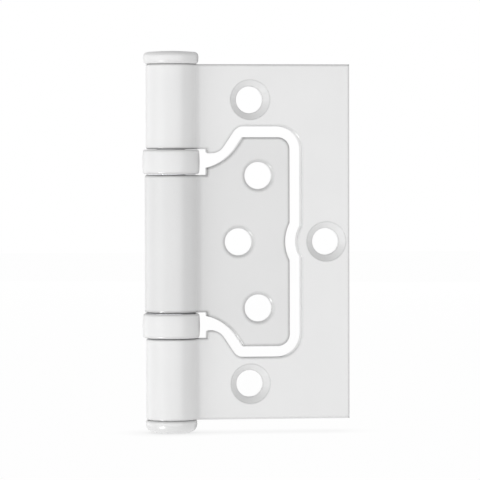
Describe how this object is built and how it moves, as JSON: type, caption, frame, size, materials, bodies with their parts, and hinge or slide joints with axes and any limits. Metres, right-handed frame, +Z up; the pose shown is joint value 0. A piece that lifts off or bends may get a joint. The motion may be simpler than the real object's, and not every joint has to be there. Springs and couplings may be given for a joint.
{
  "type": "non-mortise hinge",
  "caption": "White butterfly door hinge: an inner leaf nests in the window of the outer leaf, turning on a pin through a capped barrel with crowned ball bearings.",
  "frame": {"origin": "on the pin's axis, at the middle of the leaves' height", "axes": "+Z up along the pin towards the larger cap, +X from the pin out along the closed leaves, +Y towards the surface that the outer leaf is screwed to, so the outer leaf's countersinks look along -Y"},
  "size_m": [0.044, 0.012, 0.0804],
  "materials": {
    "white_coat": "semi-gloss white powder coat",
    "pin_steel": "drawn and zinc plated",
    "race_steel": "turned and hardened",
    "ball_steel": "polished",
    "cage_brass": "stamped"
  },
  "bodies": {
    "outer_leaf_side": {"outer_leaf": "white_coat", "hinge_pin": "pin_steel", "top_cap": "white_coat", "bottom_cap": "white_coat", "upper_bearing_shell": "white_coat", "upper_fixed_race": "race_steel", "lower_bearing_shell": "white_coat", "lower_fixed_race": "race_steel"},
    "inner_leaf_side": {"inner_leaf": "white_coat", "upper_running_race": "race_steel", "lower_running_race": "race_steel"},
    "upper_ball_set": {"upper_ball_cage": "cage_brass", "upper_ball_1": "ball_steel", "upper_ball_2": "ball_steel", "upper_ball_3": "ball_steel", "upper_ball_4": "ball_steel", "upper_ball_5": "ball_steel", "upper_ball_6": "ball_steel", "upper_ball_7": "ball_steel", "upper_ball_8": "ball_steel"},
    "lower_ball_set": {"lower_ball_cage": "cage_brass", "lower_ball_1": "ball_steel", "lower_ball_2": "ball_steel", "lower_ball_3": "ball_steel", "lower_ball_4": "ball_steel", "lower_ball_5": "ball_steel", "lower_ball_6": "ball_steel", "lower_ball_7": "ball_steel", "lower_ball_8": "ball_steel"}
  },
  "joints": [
    {"name": "leaf_swing", "type": "hinge", "parent": "outer_leaf_side", "child": "inner_leaf_side", "pos_m": [0, 0, 0], "axis": [0, 0, -1], "continuous": true},
    {"name": "upper_balls_roll", "type": "hinge", "parent": "outer_leaf_side", "child": "upper_ball_set", "pos_m": [0, 0, 0], "axis": [0, 0, -1], "continuous": true},
    {"name": "lower_balls_roll", "type": "hinge", "parent": "outer_leaf_side", "child": "lower_ball_set", "pos_m": [0, 0, 0], "axis": [0, 0, -1], "continuous": true}
  ],
  "couplings": [
    {"joint": "upper_balls_roll", "follows": "leaf_swing", "ratio": 0.5},
    {"joint": "lower_balls_roll", "follows": "leaf_swing", "ratio": 0.5}
  ]
}
